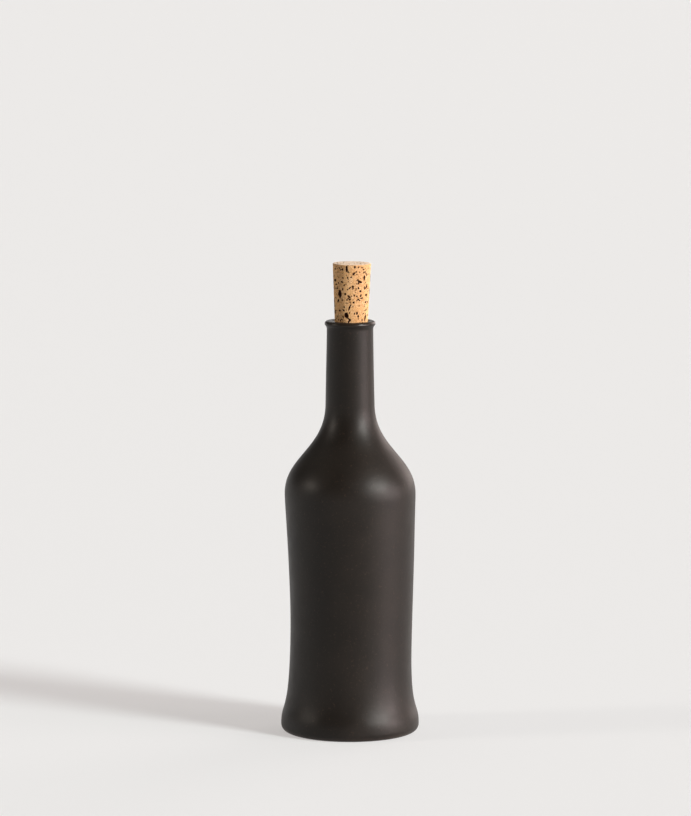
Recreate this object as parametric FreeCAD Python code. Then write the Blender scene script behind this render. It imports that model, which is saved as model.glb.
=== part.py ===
import FreeCAD, Part
import math
import os
from collections import namedtuple

# Wheel-thrown stoneware oil carafe, closed with a tapered natural cork. Millimetres.
# Origin: centre of the foot's flat underside. +Z runs up the bottle, the cork leans towards +X.

# Bottle: overall height, and the lengths taken from it at the top
BOTTLE_HEIGHT = 229.5      # underside of the foot to the crest of the lip
NECK_LENGTH = 47.3         # base of the neck to the crest of the lip
SHOULDER_RISE = 49.0       # widest point of the shoulder to the base of the neck
WAIST_HEIGHT = 50.3        # underside of the foot to the narrowest point of the body
FOOT_HEIGHT = 4.0          # underside of the foot to its widest point

# Bottle: radii
FOOT_RADIUS = 38.4         # widest point of the flared foot
FOOT_EDGE = 3.5            # how far the rounded edge draws in under the foot
WAIST_RADIUS = 33.8
SHOULDER_RADIUS = 36.3
MOUTH_RADIUS = 9.2         # bore that grips the cork
NECK_WALL = 3.65           # bore to the outside of the neck, under the lip
NECK_SPREAD = 0.8          # how much wider the neck is at its base
NECK_TAPER = 0.03          # radius lost per millimetre of height where the neck begins

# Bottle: radius of the upright bend at each height
FOOT_BEND = 45.0
WAIST_BEND = 560.0
SHOULDER_BEND = 27.0
NECK_BASE_BEND = 38.0
NECK_TOP_BEND = 60.0

# Rolled lip and mouth
LIP_OVERHANG = 1.2         # how far the lip stands out from the neck
LIP_ROLL = 1.5             # radius of the rolled rim
LIP_FILLET = 3.0           # radius of the hollow under the rim
MOUTH_EDGE = 1.8           # rounding of the rim's inner edge
MOUTH_SHIFT = 0.7          # the mouth sits this far off the lip's centre, towards +X
MOUTH_FLOOR_GAP = 0.3      # cork's foot to the floor of the bore

# Cork
CORK_LENGTH = 44.0
CORK_DEPTH = 12.0          # length below the crest of the lip
CORK_TAPER_DEG = 2.45      # half angle of the cone
CORK_LEAN_DEG = 0.5        # towards +X
CORK_EDGE = 0.6            # rounding of the top edge
CORK_FOOT_EDGE = 0.8       # bevel of the hidden foot
CORK_CLEARANCE = 0.05      # between cork and bore, all round

QUARTER_ARC_PULL = 4 / 3 * math.tan(math.pi / 8)   # Bezier handle of a quarter circle of radius 1
HALF = math.sqrt(0.5)

# A height where the profile runs upright, or leans in by taper, with its own bend radius
Station = namedtuple("Station", "radius height bend taper")


def point(radius, height):
    return FreeCAD.Vector(radius, 0, height)


def line(start, end):
    return Part.LineSegment(start, end).toShape()


def arc(start, middle, end):
    return Part.Arc(start, middle, end).toShape()


def bezier(*poles):
    curve = Part.BezierCurve()
    curve.setPoles(list(poles))
    return curve.toShape()


def bend_pull(lower, upper, bend):
    """Handle length that bends the span between two stations to this radius at one end."""
    return math.sqrt(2 / 3 * abs(upper.radius - lower.radius) * bend)


def span(lower, upper):
    """Smooth profile curve from one station up to the next."""
    pull_up = bend_pull(lower, upper, lower.bend)
    pull_down = bend_pull(lower, upper, upper.bend)
    return bezier(
        point(lower.radius, lower.height),
        point(lower.radius - lower.taper * pull_up, lower.height + pull_up),
        point(upper.radius + upper.taper * pull_down, upper.height - pull_down),
        point(upper.radius, upper.height),
    )


def turned_solid(edges):
    """Solid of revolution about the Z axis from a closed half profile."""
    face = Part.Face(Part.Wire(edges))
    return face.revolve(FreeCAD.Vector(0, 0, 0), FreeCAD.Vector(0, 0, 1), 360)


def foot_edge():
    """Rounded edge from the flat underside out to the widest point of the foot."""
    contact = FOOT_RADIUS - FOOT_EDGE
    return bezier(
        point(contact, 0),
        point(contact + QUARTER_ARC_PULL * FOOT_EDGE, 0),
        point(FOOT_RADIUS, FOOT_HEIGHT * (1 - QUARTER_ARC_PULL)),
        point(FOOT_RADIUS, FOOT_HEIGHT),
    )


def bottle_blank():
    """Bottle with its rolled lip, before the mouth is cut."""
    neck_top_radius = MOUTH_RADIUS + NECK_WALL
    neck_base_height = BOTTLE_HEIGHT - NECK_LENGTH

    # The rim's roll, and the hollow that joins it to the neck
    crest_radius = neck_top_radius + LIP_OVERHANG - LIP_ROLL
    roll_height = BOTTLE_HEIGHT - LIP_ROLL
    hollow_radius = neck_top_radius + LIP_FILLET
    between_centres = LIP_ROLL + LIP_FILLET
    drop = math.sqrt(between_centres ** 2 - (hollow_radius - crest_radius) ** 2)
    hollow_height = roll_height - drop
    roll_centre = point(crest_radius, roll_height)
    hollow_centre = point(hollow_radius, hollow_height)
    towards_hollow = (hollow_centre - roll_centre).normalize()
    touch = roll_centre + towards_hollow * LIP_ROLL
    halfway_round = (point(-1, 0) - towards_hollow).normalize()

    foot = Station(FOOT_RADIUS, FOOT_HEIGHT, FOOT_BEND, 0)
    waist = Station(WAIST_RADIUS, WAIST_HEIGHT, WAIST_BEND, 0)
    shoulder = Station(SHOULDER_RADIUS, neck_base_height - SHOULDER_RISE, SHOULDER_BEND, 0)
    neck_base = Station(neck_top_radius + NECK_SPREAD, neck_base_height, NECK_BASE_BEND, NECK_TAPER)
    neck_top = Station(neck_top_radius, hollow_height, NECK_TOP_BEND, 0)
    stations = [foot, waist, shoulder, neck_base, neck_top]

    edges = [line(point(0, 0), point(FOOT_RADIUS - FOOT_EDGE, 0)), foot_edge()]
    for lower, upper in zip(stations, stations[1:]):
        edges.append(span(lower, upper))
    neck_end = point(neck_top.radius, neck_top.height)
    crest = point(crest_radius, BOTTLE_HEIGHT)
    edges.append(arc(neck_end, hollow_centre + halfway_round * LIP_FILLET, touch))
    edges.append(arc(touch, roll_centre + point(HALF, HALF) * LIP_ROLL, crest))
    edges.append(line(crest, point(0, BOTTLE_HEIGHT)))
    edges.append(line(point(0, BOTTLE_HEIGHT), point(0, 0)))
    return turned_solid(edges)


def bottle():
    """Bottle whose mouth is a bore with a rounded inner edge, as deep as the cork needs."""
    bore_depth = CORK_DEPTH + MOUTH_FLOOR_GAP
    floor = FreeCAD.Vector(MOUTH_SHIFT, 0, BOTTLE_HEIGHT - bore_depth)
    bored = bottle_blank().cut(Part.makeCylinder(MOUTH_RADIUS, bore_depth, floor))
    halfway_down = BOTTLE_HEIGHT - bore_depth / 2
    mouth = [
        edge for edge in bored.Edges
        if isinstance(edge.Curve, Part.Circle)
        and math.isclose(edge.Curve.Radius, MOUTH_RADIUS)
        and edge.CenterOfMass.z > halfway_down
    ]
    return bored.makeFillet(MOUTH_EDGE, mouth).Solids[0]


def cork():
    """Tapered cork, wedged where the mouth's straight bore begins."""
    grip_height = BOTTLE_HEIGHT - MOUTH_EDGE
    grip_radius = MOUTH_RADIUS - CORK_CLEARANCE
    slope = math.tan(math.radians(CORK_TAPER_DEG))
    foot = MOUTH_EDGE - CORK_DEPTH
    top = foot + CORK_LENGTH
    foot_radius = grip_radius + foot * slope
    top_radius = grip_radius + top * slope

    side_end = point(top_radius - CORK_EDGE * slope, top - CORK_EDGE)
    top_edge_start = point(top_radius - CORK_EDGE, top)
    top_edge = bezier(side_end, point(top_radius, top), top_edge_start)
    foot_side = point(foot_radius + CORK_FOOT_EDGE * slope, foot + CORK_FOOT_EDGE)
    foot_face = point(foot_radius - CORK_FOOT_EDGE, foot)
    solid = turned_solid([
        line(point(0, foot), foot_face),
        line(foot_face, foot_side),
        line(foot_side, side_end),
        top_edge,
        line(top_edge_start, point(0, top)),
        line(point(0, top), point(0, foot)),
    ])
    solid.rotate(FreeCAD.Vector(0, 0, 0), FreeCAD.Vector(0, 1, 0), CORK_LEAN_DEG)
    solid.translate(FreeCAD.Vector(MOUTH_SHIFT, 0, grip_height))
    return solid


os.makedirs("parts", exist_ok=True)
for name, make in (("bottle", bottle), ("cork", cork)):
    shape = make()
    if not shape.isValid():
        raise RuntimeError(name + " is not a valid solid")
    shape.exportStep("parts/" + name + ".step")
    print(name, "volume", round(shape.Volume, 1), "mm3")
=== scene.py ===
import math
import random

import bpy
import numpy as np
from mathutils import Matrix, Vector, noise


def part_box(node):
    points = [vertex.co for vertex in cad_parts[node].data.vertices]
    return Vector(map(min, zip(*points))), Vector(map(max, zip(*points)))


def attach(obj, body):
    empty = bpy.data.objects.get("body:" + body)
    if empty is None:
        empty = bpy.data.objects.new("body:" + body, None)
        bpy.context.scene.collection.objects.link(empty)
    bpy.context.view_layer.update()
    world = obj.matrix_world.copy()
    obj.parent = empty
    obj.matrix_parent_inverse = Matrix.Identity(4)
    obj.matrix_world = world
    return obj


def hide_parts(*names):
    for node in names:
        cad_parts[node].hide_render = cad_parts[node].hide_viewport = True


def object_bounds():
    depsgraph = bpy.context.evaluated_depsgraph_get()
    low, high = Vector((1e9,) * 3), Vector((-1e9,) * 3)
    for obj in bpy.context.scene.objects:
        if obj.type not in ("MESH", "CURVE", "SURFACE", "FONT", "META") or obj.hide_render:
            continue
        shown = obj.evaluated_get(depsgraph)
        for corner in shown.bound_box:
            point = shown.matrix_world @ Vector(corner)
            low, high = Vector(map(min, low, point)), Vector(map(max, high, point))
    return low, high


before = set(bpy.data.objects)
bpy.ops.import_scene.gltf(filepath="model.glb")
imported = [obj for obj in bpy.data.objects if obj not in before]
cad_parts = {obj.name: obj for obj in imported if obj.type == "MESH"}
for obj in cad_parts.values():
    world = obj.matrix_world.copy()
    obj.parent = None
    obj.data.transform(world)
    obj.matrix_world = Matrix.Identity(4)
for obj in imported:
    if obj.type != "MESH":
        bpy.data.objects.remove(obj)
cad_low, cad_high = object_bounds()

MM = 0.001

# ---------------------------------------------------------------- sizes, as in the solids

_, bottle_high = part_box("bottle")
cork_low, cork_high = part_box("cork")

BOTTLE_HEIGHT = bottle_high.z
NECK_LENGTH = 47.3 * MM
SHOULDER_RISE = 49.0 * MM
WAIST_HEIGHT = 50.3 * MM
FOOT_HEIGHT = 4.0 * MM
FOOT_RADIUS = bottle_high.x
FOOT_EDGE = 3.5 * MM
WAIST_RADIUS = 33.8 * MM
SHOULDER_RADIUS = 36.3 * MM
MOUTH_RADIUS = 9.2 * MM
NECK_WALL = 3.65 * MM
NECK_SPREAD = 0.8 * MM
NECK_TAPER = 0.03
FOOT_BEND = 45.0 * MM
WAIST_BEND = 560.0 * MM
SHOULDER_BEND = 27.0 * MM
NECK_BASE_BEND = 38.0 * MM
NECK_TOP_BEND = 60.0 * MM
LIP_OVERHANG = 1.2 * MM
LIP_ROLL = 1.5 * MM
LIP_FILLET = 3.0 * MM
MOUTH_EDGE = 1.8 * MM
MOUTH_SHIFT = 0.7 * MM
MOUTH_FLOOR_GAP = 0.3 * MM

CORK_LENGTH = 44.0 * MM
CORK_DEPTH = 12.0 * MM
CORK_SLOPE = math.tan(math.radians(2.45))
CORK_LEAN = math.radians(0.5)
CORK_EDGE = 0.6 * MM
CORK_CLEARANCE = 0.05 * MM


# ---------------------------------------------------------------- mesh helpers

def bezier_points(p0, p1, p2, p3, count):
    """Points along a cubic curve, without its first one."""
    t = np.linspace(0, 1, count + 1)[1:, None]
    p0, p1, p2, p3 = (np.array(p) for p in (p0, p1, p2, p3))
    return (1 - t) ** 3 * p0 + 3 * (1 - t) ** 2 * t * p1 + 3 * (1 - t) * t ** 2 * p2 + t ** 3 * p3


def arc_points(centre, radius, start, end, count):
    """Points along an arc between two angles in radians, without its first one."""
    angle = np.linspace(start, end, count + 1)[1:]
    return np.column_stack([centre[0] + radius * np.cos(angle), centre[1] + radius * np.sin(angle)])


def line_points(start, end, count):
    """Points along a straight line, without its first one."""
    t = np.linspace(0, 1, count + 1)[1:, None]
    return np.array(start) * (1 - t) + np.array(end) * t


def turned_mesh(name, rings, low_centre, high_centre):
    """Closed mesh through rings of points, from the low pole under the first to the pole in the last."""
    count, columns = rings.shape[:2]
    vertices = np.vstack([rings.reshape(-1, 3), [low_centre], [high_centre]])
    low_pole = count * columns
    high_pole = low_pole + 1
    column = np.arange(columns)
    following = (column + 1) % columns
    faces = []
    for ring in range(count - 1):
        here, above = ring * columns, (ring + 1) * columns
        faces += np.column_stack(
            [here + column, here + following, above + following, above + column]
        ).tolist()
    last = (count - 1) * columns
    faces += [(int(b), int(a), low_pole) for a, b in zip(column, following)]
    faces += [(last + int(a), last + int(b), high_pole) for a, b in zip(column, following)]
    mesh = bpy.data.meshes.new(name)
    mesh.from_pydata(vertices.tolist(), [], faces)
    mesh.validate()
    mesh.polygons.foreach_set("use_smooth", [True] * len(mesh.polygons))
    piece = bpy.data.objects.new(name, mesh)
    bpy.context.scene.collection.objects.link(piece)
    return piece


# ---------------------------------------------------------------- bottle

BOTTLE_COLUMNS = 224
BODY_RING_STEP = 1.1 * MM      # height between rings along the body and neck
FEWEST_RINGS = 24              # in each stretch between two stations
UNDERSIDE_RINGS = 14
FOOT_EDGE_RINGS = 14
LIP_HOLLOW_RINGS = 10
LIP_ROLL_RINGS = 18
LIP_LAND_RINGS = 4
MOUTH_EDGE_RINGS = 12
BORE_RINGS = 12
BORE_FLOOR_RINGS = 6
QUARTER_ARC_PULL = 4 / 3 * math.tan(math.pi / 8)   # Bezier handle of a quarter circle of radius 1
BODY_SWAY = 0.85 * MM          # how far the thrown body swells to one side between waist and shoulder
SWAY_HEIGHT = 78 * MM
SWAY_REACH = 68 * MM
THROWN_WOBBLE = 0.10 * MM      # unevenness left by the hand
WOBBLE_ROUND = 1.2             # radius of the wobble's circle through the noise
WOBBLE_RISE = 28               # steps through the noise for each metre of height
WOBBLE_FADE = 20 * MM          # the wobble dies away over this height above the foot and below the lip


def bottle_profile():
    """Radius and height of each ring, from the underside over the lip into the mouth, and its floor."""
    neck_top_radius = MOUTH_RADIUS + NECK_WALL
    neck_base_height = BOTTLE_HEIGHT - NECK_LENGTH
    crest_radius = neck_top_radius + LIP_OVERHANG - LIP_ROLL
    roll_centre = (crest_radius, BOTTLE_HEIGHT - LIP_ROLL)
    hollow_radius = neck_top_radius + LIP_FILLET
    drop = math.sqrt((LIP_ROLL + LIP_FILLET) ** 2 - (hollow_radius - crest_radius) ** 2)
    hollow_centre = (hollow_radius, roll_centre[1] - drop)
    touch_angle = math.atan2(-drop, hollow_radius - crest_radius)
    stations = [
        (FOOT_RADIUS, FOOT_HEIGHT, FOOT_BEND, 0),
        (WAIST_RADIUS, WAIST_HEIGHT, WAIST_BEND, 0),
        (SHOULDER_RADIUS, neck_base_height - SHOULDER_RISE, SHOULDER_BEND, 0),
        (neck_top_radius + NECK_SPREAD, neck_base_height, NECK_BASE_BEND, NECK_TAPER),
        (neck_top_radius, hollow_centre[1], NECK_TOP_BEND, 0),
    ]
    contact = FOOT_RADIUS - FOOT_EDGE
    runs = [line_points((0, 0), (contact, 0), UNDERSIDE_RINGS)]
    runs.append(bezier_points(
        (contact, 0), (contact + QUARTER_ARC_PULL * FOOT_EDGE, 0),
        (FOOT_RADIUS, FOOT_HEIGHT * (1 - QUARTER_ARC_PULL)), (FOOT_RADIUS, FOOT_HEIGHT),
        FOOT_EDGE_RINGS,
    ))
    for (r0, z0, bend0, taper0), (r1, z1, bend1, taper1) in zip(stations, stations[1:]):
        up = math.sqrt(2 / 3 * abs(r1 - r0) * bend0)
        down = math.sqrt(2 / 3 * abs(r1 - r0) * bend1)
        steps = max(FEWEST_RINGS, round((z1 - z0) / BODY_RING_STEP))
        runs.append(bezier_points(
            (r0, z0), (r0 - taper0 * up, z0 + up), (r1 + taper1 * down, z1 - down), (r1, z1), steps,
        ))
    hollow_end = math.pi + touch_angle
    runs.append(arc_points(hollow_centre, LIP_FILLET, math.pi, hollow_end, LIP_HOLLOW_RINGS))
    runs.append(arc_points(roll_centre, LIP_ROLL, touch_angle, math.pi / 2, LIP_ROLL_RINGS))
    edge_start = MOUTH_RADIUS + MOUTH_EDGE
    bore_top = BOTTLE_HEIGHT - MOUTH_EDGE
    floor = BOTTLE_HEIGHT - CORK_DEPTH - MOUTH_FLOOR_GAP
    runs.append(line_points((crest_radius, BOTTLE_HEIGHT), (edge_start, BOTTLE_HEIGHT), LIP_LAND_RINGS))
    runs.append(arc_points((edge_start, bore_top), MOUTH_EDGE, math.pi / 2, math.pi, MOUTH_EDGE_RINGS))
    runs.append(line_points((MOUTH_RADIUS, bore_top), (MOUTH_RADIUS, floor), BORE_RINGS))
    runs.append(line_points((MOUTH_RADIUS, floor), (0, floor), BORE_FLOOR_RINGS))
    points = np.vstack(runs)
    on_axis = points[:, 0] < 0.001 * MM
    return points[~on_axis], floor


def shift_outside(height):
    """How far a ring of the outside lies to the right."""
    reach = min(1, abs(height - SWAY_HEIGHT) / SWAY_REACH)
    return BODY_SWAY * math.cos(math.pi / 2 * reach) ** 2


def shift_in_mouth(radius, crest_radius):
    """How far a ring inside the crest of the lip lies to the right."""
    land = MOUTH_RADIUS + MOUTH_EDGE
    return MOUTH_SHIFT * min(1, max(0, (crest_radius - radius) / (crest_radius - land)))


def wobble(height, angle):
    """How far the thrown wall stands out at each angle of a ring."""
    from_foot = min(1, (height - FOOT_HEIGHT) / WOBBLE_FADE)
    from_lip = min(1, (BOTTLE_HEIGHT - height) / WOBBLE_FADE)
    return THROWN_WOBBLE * from_foot * from_lip * np.array([
        noise.noise((WOBBLE_ROUND * math.cos(a), WOBBLE_ROUND * math.sin(a), height * WOBBLE_RISE))
        for a in angle
    ])


def make_bottle():
    profile, floor = bottle_profile()
    angle = np.linspace(0, 2 * math.pi, BOTTLE_COLUMNS, endpoint=False)
    crest = int(np.argmax(profile[:, 1]))
    rings = []
    for i, (radius, height) in enumerate(profile):
        inside = i > crest
        shift = shift_in_mouth(radius, profile[crest, 0]) if inside else shift_outside(height)
        if not inside and height > FOOT_HEIGHT:
            radius = radius + wobble(height, angle)
        rings.append(np.column_stack([
            shift + radius * np.cos(angle),
            radius * np.sin(angle),
            np.full(BOTTLE_COLUMNS, height),
        ]))
    return turned_mesh("thrown_bottle", np.array(rings), (0, 0, 0), (MOUTH_SHIFT, 0, floor))


# ---------------------------------------------------------------- cork

CORK_COLUMNS = 320
CORK_STEP = 0.17 * MM          # between rings on the side
CORK_TOP_STEP = 1.6 * CORK_STEP
CORK_EDGE_RINGS = 6

# The large pores at the front: turn in degrees, then distance below the top, width and length in
# millimetres, then tilt in degrees
LARGE_PORES = [
    (-16, 2.3, 1.4, 3.3, 4), (6, 5.1, 0.9, 1.9, 30), (38, 2.8, 0.9, 0.8, 0), (41, 4.4, 1.2, 0.9, 0),
    (43, 7.4, 1.2, 3.0, 8), (27, 9.6, 2.3, 1.3, 15), (-13, 7.2, 0.9, 0.9, 0), (-65, 9.2, 2.2, 1.4, 0),
    (-52, 13.4, 1.1, 0.8, 0), (-57, 11.3, 1.3, 0.8, 0), (4, 12.5, 1.0, 2.0, -6), (22, 13.1, 0.8, 1.4, -20),
    (29, 14.8, 1.1, 1.0, 0), (-41, 16.1, 2.2, 4.0, -6), (-21, 16.4, 0.9, 1.3, 10), (17, 17.5, 1.0, 0.7, 30),
    (36, 18.6, 1.4, 0.8, -40), (-6, 19.4, 1.2, 0.8, -20), (7, 20.9, 1.0, 1.0, 0), (-48, 20.1, 1.4, 1.3, 0),
    (-32, 19.8, 0.8, 0.9, 0), (-7, 23.8, 0.8, 2.9, 18), (-26, 23.6, 0.9, 0.8, 0), (-28, 25.4, 1.4, 0.8, 20),
    (-43, 25.7, 1.1, 1.0, 0), (-17, 28.2, 2.2, 3.2, -20), (-7, 30.4, 0.9, 1.5, -40), (19, 27.0, 0.9, 1.7, 5),
    (55, 29.8, 1.3, 3.0, 12), (56, 12.0, 1.1, 2.0, 10), (54, 17.0, 1.5, 1.1, 0),
]
SMALL_PORES = 480
BACK_PORES = 46
TOP_PORES = 60
SIDE_SEED = 11
TOP_SEED = 5
TOP_SPREAD = 0.95              # the cut end's pores keep within this share of its radius

# A pore's wall starts and ends at these shares of its radius, and so does its dark stain
SIDE_WALL = (0.55, 1.15)
SIDE_STAIN = (0.88, 1.2)
TOP_WALL = (0.5, 1.15)
TOP_STAIN = (0.7, 1.12)
SIDE_DEPTH = 0.55              # depth as a share of the pore's width
TOP_DEPTH = 0.5
DEEPEST_PORE = 0.9 * MM
TOP_DARKNESS = 0.8
RAGGED_EDGE = 0.30             # how far each of the two noises breaks up a pore's outline

FINE_RAG = 0.55 * MM           # size of the fine noise's features, and of the wide one's
WIDE_RAG = 1.3 * MM
FINE_SEED = 3.1
WIDE_SEED = 7.7
FINE_SKIN = 0.035 * MM         # how far each noise roughens the skin
WIDE_SKIN = 0.05 * MM
SKIN_SINK = 0.05 * MM          # the rough skin lies this far inside the plain cone
SMOOTH_BELOW = 0.3 * MM        # under this height over the grip, the hidden cone stays plain
SMOOTH_FADE = 1.5 * MM


def smooth_step(low, high, value):
    t = np.clip((value - low) / (high - low), 0, 1)
    return t * t * (3 - 2 * t)


def ragged(points, size, seed):
    """Noise from -1 to 1 at each point, with features of the given size."""
    return np.array([noise.noise((x / size + seed, y / size, z / size)) for x, y, z in points])


def cork_profile():
    """Outline of the upright cork with its grip at the origin, its normals, and its foot and top."""
    foot = MOUTH_EDGE - CORK_DEPTH
    top = foot + CORK_LENGTH
    grip = MOUTH_RADIUS - CORK_CLEARANCE
    side_rings = round((CORK_LENGTH - CORK_EDGE) / CORK_STEP)
    outline, normals = [], []
    side_normal = np.array([1, -CORK_SLOPE]) / math.hypot(1, CORK_SLOPE)
    for height in np.linspace(foot, top - CORK_EDGE, side_rings):
        outline.append((grip + height * CORK_SLOPE, height))
        normals.append(side_normal)
    rim = outline[-1][0] - CORK_EDGE
    for turn in np.linspace(0, math.pi / 2, CORK_EDGE_RINGS + 1)[1:]:
        outline.append((rim + CORK_EDGE * math.cos(turn), top - CORK_EDGE + CORK_EDGE * math.sin(turn)))
        normals.append((math.cos(turn), math.sin(turn)))
    for radius in np.arange(rim - CORK_TOP_STEP, 2 * CORK_STEP, -CORK_TOP_STEP):
        outline.append((radius, top))
        normals.append((0, 1))
    return np.array(outline), np.array(normals), foot, top


def pore_list():
    """Every pore on the side: turn, distance below the top, width, length, tilt, share of full depth."""
    rng = random.Random(SIDE_SEED)
    pores = []
    for turn, below, width, length, tilt in LARGE_PORES:
        pores.append((math.radians(turn), below * MM, width * MM, length * MM, math.radians(tilt), 1.0))
    for _ in range(BACK_PORES):
        turn = math.radians(rng.uniform(75, 285))
        length = rng.uniform(0.9, 3.4) * MM
        below = rng.uniform(1.5, 31) * MM
        width = rng.uniform(0.7, 1.5) * MM
        tilt = math.radians(rng.gauss(0, 22))
        pores.append((turn, below, width, length, tilt, 1.0))
    for _ in range(SMALL_PORES):
        size = (0.36 + 0.55 * rng.random() ** 2) * MM
        turn = rng.uniform(0, 2 * math.pi)
        below = rng.uniform(0.3, 33) * MM
        length = size * rng.uniform(0.8, 1.8)
        tilt = math.radians(rng.gauss(0, 30))
        pores.append((turn, below, size, length, tilt, rng.uniform(0.65, 1.0)))
    return pores


def carve_side(turn, radius, below, rags):
    """Depth and darkness of the side's pores at every point."""
    pit = np.zeros(rags.shape)
    dark = np.zeros(rags.shape)
    for at, down, width, length, tilt, share in pore_list():
        across = ((turn - at + math.pi) % (2 * math.pi) - math.pi) * radius
        along = down - below
        a = across * math.cos(tilt) - along * math.sin(tilt)
        b = across * math.sin(tilt) + along * math.cos(tilt)
        reach = np.hypot(a / (width / 2), b / (length / 2)) * (1 + RAGGED_EDGE * rags)
        wall = share * (1 - smooth_step(*SIDE_WALL, reach))
        pit = np.maximum(pit, wall * min(DEEPEST_PORE, SIDE_DEPTH * width))
        dark = np.maximum(dark, share * (1 - smooth_step(*SIDE_STAIN, reach)))
    return pit, dark


def carve_top(points, rags):
    """Depth and darkness of the cut end's pores at every point."""
    pit = np.zeros(rags.shape)
    dark = np.zeros(rags.shape)
    end_radius = (cork_high.y - cork_low.y) / 2
    rng = random.Random(TOP_SEED)
    for _ in range(TOP_PORES):
        away = end_radius * math.sqrt(rng.random()) * TOP_SPREAD
        at = rng.uniform(0, 2 * math.pi)
        size = rng.uniform(0.35, 1.3) * MM
        stretch = rng.uniform(1, 2.2)
        across = points[..., 0] - away * math.sin(at)
        along = (points[..., 1] + away * math.cos(at)) / stretch
        reach = np.hypot(across, along) / (size / 2) * (1 + RAGGED_EDGE * rags)
        pit = np.maximum(pit, (1 - smooth_step(*TOP_WALL, reach)) * TOP_DEPTH * size)
        dark = np.maximum(dark, TOP_DARKNESS * (1 - smooth_step(*TOP_STAIN, reach)))
    return pit, dark


def make_cork():
    outline, normals, foot, top = cork_profile()
    turn = np.linspace(0, 2 * math.pi, CORK_COLUMNS, endpoint=False)
    radius, height = outline[:, 0][:, None], outline[:, 1][:, None]
    # The front of the cork faces -Y, so its turn counts from there towards +X
    unit = np.stack([np.sin(turn), -np.cos(turn)], axis=-1)
    points = np.empty((len(outline), CORK_COLUMNS, 3))
    points[..., :2] = radius[..., None] * unit
    points[..., 2] = height
    normal = np.empty_like(points)
    normal[..., :2] = normals[:, 0][:, None, None] * unit
    normal[..., 2] = normals[:, 1][:, None]

    flat = points.reshape(-1, 3)
    rag = ragged(flat, FINE_RAG, FINE_SEED).reshape(points.shape[:2])
    wide_rag = ragged(flat, WIDE_RAG, WIDE_SEED).reshape(points.shape[:2])
    on_side = (normals[:, 0] > 0.5)[:, None]
    side_pit, side_dark = carve_side(turn, radius, top - height, rag + wide_rag)
    top_pit, top_dark = carve_top(points, rag + wide_rag)
    pit = np.where(on_side, side_pit, top_pit)
    dark = np.where(on_side, side_dark, top_dark)

    skin = FINE_SKIN * rag + WIDE_SKIN * wide_rag
    in_sight = smooth_step(0, SMOOTH_FADE, height - SMOOTH_BELOW)
    points -= normal * ((pit - skin + SKIN_SINK) * in_sight)[..., None]

    lean = np.array(Matrix.Rotation(CORK_LEAN, 3, "Y"))
    grip = np.array((MOUTH_SHIFT, 0, BOTTLE_HEIGHT - MOUTH_EDGE))
    placed = points @ lean.T + grip
    low_centre = np.array((0, 0, foot)) @ lean.T + grip
    high_centre = np.array((0, 0, top - SKIN_SINK)) @ lean.T + grip
    piece = turned_mesh("cork_stopper", placed, low_centre, high_centre)
    mask = piece.data.attributes.new("pore", "FLOAT", "POINT")
    mask.data.foreach_set("value", np.append(dark.reshape(-1), [0, 0]).astype(np.float32))
    return piece


# ---------------------------------------------------------------- materials

GLAZE_DARK = (0.0096, 0.0072, 0.0055)
GLAZE_LIGHT = (0.0134, 0.0100, 0.0077)
GLAZE_FLECK = (0.065, 0.040, 0.027)
GLAZE_THIN = (0.056, 0.036, 0.027)
CORK_DARK = (0.52, 0.262, 0.088)
CORK_LIGHT = (0.90, 0.635, 0.370)
CORK_PATCH = (0.76, 0.445, 0.180)
CORK_SPECK = (0.20, 0.075, 0.028)
CORK_END = (0.59, 0.50, 0.42)
CORK_PORE = (0.035, 0.008, 0.003)
FLOOR_GREY = (0.38, 0.41, 0.43)
FLOOR_GLOW = (1.0, 0.95, 0.93)
FLOOR_GLOW_STRENGTH = 0.45
WALL_COLOUR = (0.83, 0.81, 0.80)


class Nodes:
    """Short calls for building a material's nodes."""

    def __init__(self, name):
        self.material = bpy.data.materials.new(name)
        self.material.use_nodes = True
        self.tree = self.material.node_tree
        self.shader = self.tree.nodes["Principled BSDF"]

    def add(self, kind, **settings):
        node = self.tree.nodes.new(kind)
        for key, value in settings.items():
            setattr(node, key, value)
        return node

    def link(self, out, socket):
        self.tree.links.new(out, socket)

    def noise(self, vector, scale, detail=3, roughness=0.5):
        """Noise around 0.5, with about this many features to the metre."""
        node = self.add("ShaderNodeTexNoise")
        self.link(vector, node.inputs["Vector"])
        node.inputs["Scale"].default_value = scale
        node.inputs["Detail"].default_value = detail
        node.inputs["Roughness"].default_value = roughness
        return node.outputs["Fac"]

    def spread(self, value, low, high, to_low=0.0, to_high=1.0):
        """The value's range from low to high, carried over smoothly to another range."""
        node = self.add("ShaderNodeMapRange", interpolation_type="SMOOTHSTEP")
        self.link(value, node.inputs["Value"])
        for key, number in (("From Min", low), ("From Max", high), ("To Min", to_low), ("To Max", to_high)):
            node.inputs[key].default_value = number
        return node.outputs["Result"]

    def mix(self, factor, first, second):
        """Colour between two others, each of them a colour or a node's output."""
        node = self.add("ShaderNodeMix", data_type="RGBA")
        for socket, value in ((node.inputs[0], factor), (node.inputs[6], first), (node.inputs[7], second)):
            if isinstance(value, (int, float)):
                socket.default_value = value
            elif isinstance(value, tuple):
                socket.default_value = (*value, 1)
            else:
                self.link(value, socket)
        return node.outputs[2]

    def math(self, operation, first, second=None):
        node = self.add("ShaderNodeMath", operation=operation)
        for socket, value in zip(node.inputs, (first, second)):
            if isinstance(value, (int, float)):
                socket.default_value = value
            elif value is not None:
                self.link(value, socket)
        return node.outputs[0]

    def bump(self, height, distance, strength=1.0, normal=None):
        """Normal made uneven by the height, where a height of 1 stands for the distance."""
        node = self.add("ShaderNodeBump")
        node.inputs["Strength"].default_value = strength
        node.inputs["Distance"].default_value = distance
        self.link(height, node.inputs["Height"])
        if normal is not None:
            self.link(normal, node.inputs["Normal"])
        return node.outputs["Normal"]


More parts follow.
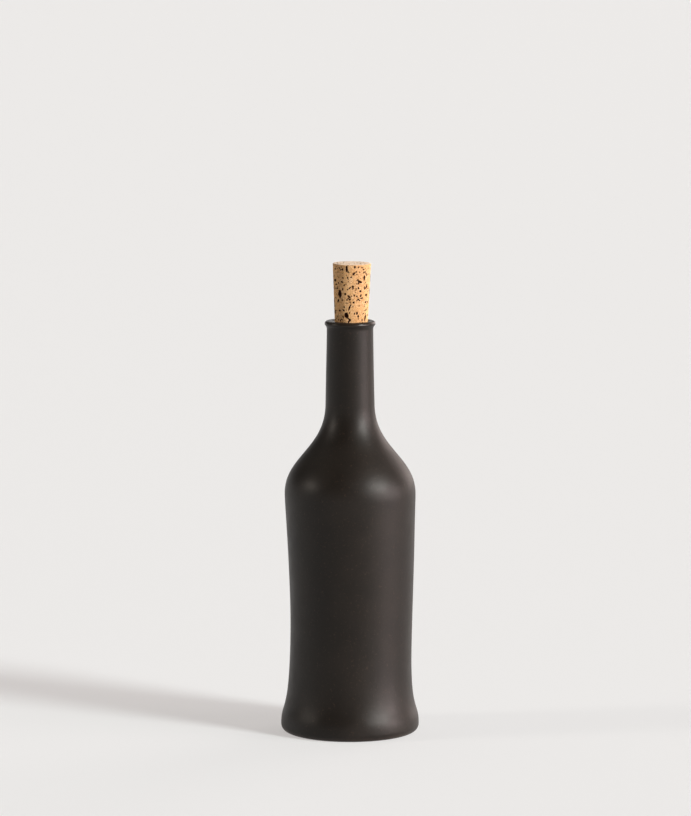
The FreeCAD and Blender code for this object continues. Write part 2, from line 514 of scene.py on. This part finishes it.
def glaze_material():
    """Dark brown-black satin glaze that breaks to a warmer brown where it runs thin."""
    n = Nodes("satin_glaze")
    where = n.add("ShaderNodeTexCoord").outputs["Object"]
    axes = n.add("ShaderNodeSeparateXYZ")
    n.link(where, axes.inputs[0])
    clouds = n.spread(n.noise(where, 45, 4), 0.35, 0.68)
    flecks = n.spread(n.noise(where, 900, 2), 0.60, 0.74)
    colour = n.mix(clouds, GLAZE_DARK, GLAZE_LIGHT)
    colour = n.mix(n.math("MULTIPLY", flecks, 0.25), colour, GLAZE_FLECK)
    wander = n.noise(where, 160, 3)
    height = n.math("ADD", axes.outputs["Z"], n.math("MULTIPLY", n.math("SUBTRACT", wander, 0.5), 4 * MM))
    lip = n.spread(height, BOTTLE_HEIGHT - 3.2 * MM, BOTTLE_HEIGHT - 0.3 * MM)
    foot = n.spread(height, 3.4 * MM, 0.2 * MM)
    thin = n.math("MAXIMUM", n.math("MULTIPLY", lip, 0.10), n.math("MULTIPLY", foot, 0.35))
    colour = n.mix(thin, colour, GLAZE_THIN)
    n.link(colour, n.shader.inputs["Base Color"])
    satin = n.spread(n.noise(where, 120, 4), 0.3, 0.7, 0.43, 0.48)
    n.link(n.math("SUBTRACT", satin, n.math("MULTIPLY", lip, 0.18)), n.shader.inputs["Roughness"])
    n.shader.inputs["IOR"].default_value = 1.31
    peel = n.bump(n.noise(where, 420, 2), 0.09 * MM, 0.5)
    fine = n.bump(n.noise(where, 2200, 2), 0.02 * MM, 0.4, peel)
    n.link(fine, n.shader.inputs["Normal"])
    return n.material


def cork_material():
    """Tan natural cork: fine grain, darker pores, paler cut end."""
    n = Nodes("natural_cork")
    where = n.add("ShaderNodeTexCoord").outputs["Object"]
    axes = n.add("ShaderNodeSeparateXYZ")
    n.link(where, axes.inputs[0])
    grain = n.spread(n.noise(where, 1500, 4, 0.65), 0.32, 0.70)
    patch = n.spread(n.noise(where, 260, 3), 0.35, 0.66)
    colour = n.mix(grain, CORK_DARK, CORK_LIGHT)
    colour = n.mix(n.math("MULTIPLY", patch, 0.45), colour, CORK_PATCH)
    specks = n.spread(n.noise(where, 1900, 2, 0.6), 0.62, 0.72)
    colour = n.mix(n.math("MULTIPLY", specks, 0.65), colour, CORK_SPECK)
    end = n.spread(axes.outputs["Z"], cork_high.z - 0.55 * MM, cork_high.z - 0.2 * MM)
    colour = n.mix(n.math("MULTIPLY", end, 0.8), colour, CORK_END)
    pore = n.add("ShaderNodeAttribute", attribute_name="pore")
    colour = n.mix(n.spread(pore.outputs["Fac"], 0.0, 0.6), colour, CORK_PORE)
    n.link(colour, n.shader.inputs["Base Color"])
    n.shader.inputs["Roughness"].default_value = 0.9
    n.shader.inputs["Specular IOR Level"].default_value = 0.15
    n.shader.inputs["Diffuse Roughness"].default_value = 1.0
    rough = n.bump(n.noise(where, 1500, 4, 0.65), 0.12 * MM, 0.6)
    n.link(rough, n.shader.inputs["Normal"])
    return n.material


def floor_material():
    """Pale floor whose paleness is partly its own, so that the shadow on it stays light."""
    n = Nodes("pale_floor")
    n.shader.inputs["Base Color"].default_value = (*FLOOR_GREY, 1)
    n.shader.inputs["Roughness"].default_value = 0.9
    n.shader.inputs["Specular IOR Level"].default_value = 0.1
    n.shader.inputs["Emission Color"].default_value = (*FLOOR_GLOW, 1)
    ray = n.add("ShaderNodeLightPath")
    seen = n.math("MAXIMUM", ray.outputs["Is Camera Ray"], ray.outputs["Is Glossy Ray"])
    seen = n.math("MAXIMUM", seen, ray.outputs["Is Transmission Ray"])
    n.link(n.math("MULTIPLY", seen, FLOOR_GLOW_STRENGTH), n.shader.inputs["Emission Strength"])
    return n.material


# ---------------------------------------------------------------- stage, light and camera

FLOOR_RADIUS = 40

# Far lights: name, azimuth, elevation, strength, width, colour; angles in degrees
SUNS = [
    ("key", 56, 25, 4.0, 14, (1.0, 0.99, 0.94)),
    ("side", 75, 0, 4.8, 36, (1.0, 0.82, 0.81)),
    ("far_side", 140, 12, 1.0, 40, (1.0, 0.84, 0.79)),
    ("left", -80, 21, 0.85, 10, (1.0, 0.90, 0.80)),
    ("above", 180, 66, 0.6, 100, (1.0, 0.93, 0.84)),
]


def make_floor():
    bpy.ops.mesh.primitive_circle_add(vertices=64, radius=FLOOR_RADIUS, fill_type="NGON")
    floor = bpy.context.object
    floor.name = "floor"
    floor.data.materials.append(floor_material())


def make_sun(name, azimuth, elevation, strength, width, colour):
    """Soft far light. Azimuth 0 is the camera's side, and 90 is to its right."""
    light = bpy.data.lights.new(name, "SUN")
    light.energy = strength
    light.angle = math.radians(width)
    light.color = colour
    lamp = bpy.data.objects.new(name, light)
    a, e = math.radians(azimuth), math.radians(elevation)
    from_here = Vector((math.sin(a) * math.cos(e), -math.cos(a) * math.cos(e), math.sin(e)))
    lamp.rotation_euler = from_here.to_track_quat("Z", "Y").to_euler()
    bpy.context.scene.collection.objects.link(lamp)


def make_world():
    """Dark room with a low pale wall all round, which stands higher behind the object."""
    world = bpy.data.worlds.new("studio")
    bpy.context.scene.world = world
    world.use_nodes = True
    tree = world.node_tree
    where = tree.nodes.new("ShaderNodeTexCoord")
    axes = tree.nodes.new("ShaderNodeSeparateXYZ")
    tree.links.new(where.outputs["Generated"], axes.inputs[0])

    def ramp(axis, dark, pale):
        """0 where the direction's share along the axis is dark, rising to 1 where it is pale."""
        node = tree.nodes.new("ShaderNodeMapRange")
        node.interpolation_type = "SMOOTHSTEP"
        node.inputs["From Min"].default_value = dark
        node.inputs["From Max"].default_value = pale
        tree.links.new(axes.outputs[axis], node.inputs["Value"])
        return node.outputs["Result"]

    def join(operation, first, second):
        node = tree.nodes.new("ShaderNodeMath")
        node.operation = operation
        tree.links.new(first, node.inputs[0])
        tree.links.new(second, node.inputs[1])
        return node.outputs[0]

    behind = join("MULTIPLY", ramp("Y", 0.6, 0.9), ramp("Z", 0.28, 0.10))
    wall = join("MAXIMUM", behind, ramp("Z", 0.14, 0.09))
    background = tree.nodes["Background"]
    background.inputs["Color"].default_value = (*WALL_COLOUR, 1)
    tree.links.new(wall, background.inputs["Strength"])


CAMERA_DISTANCE = 2.6
CAMERA_ELEVATION = math.radians(7.5)
CAMERA_LENS = 207.4
FARTHEST_SEEN = 100
AIM_SHARE = 0.6915             # height that the camera looks at, as a share of the object's
AIM_LEFT = 2.5 * MM


def make_camera():
    camera = bpy.data.objects.new("camera", bpy.data.cameras.new("camera"))
    target = Vector((-AIM_LEFT, 0, AIM_SHARE * cad_high.z))
    back = Vector((0, -math.cos(CAMERA_ELEVATION), math.sin(CAMERA_ELEVATION)))
    camera.location = target + back * CAMERA_DISTANCE
    camera.rotation_euler = back.to_track_quat("Z", "Y").to_euler()
    camera.data.lens = CAMERA_LENS
    camera.data.clip_end = FARTHEST_SEEN
    bpy.context.scene.collection.objects.link(camera)
    bpy.context.scene.camera = camera


# ---------------------------------------------------------------- the scene

bottle = make_bottle()
bottle.data.materials.append(glaze_material())
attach(bottle, "root")
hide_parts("bottle")

cork = make_cork()
cork.data.materials.append(cork_material())
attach(cork, "root")
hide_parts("cork")

make_floor()
for sun in SUNS:
    make_sun(*sun)
make_world()
make_camera()

bpy.context.scene.view_settings.view_transform = "Standard"
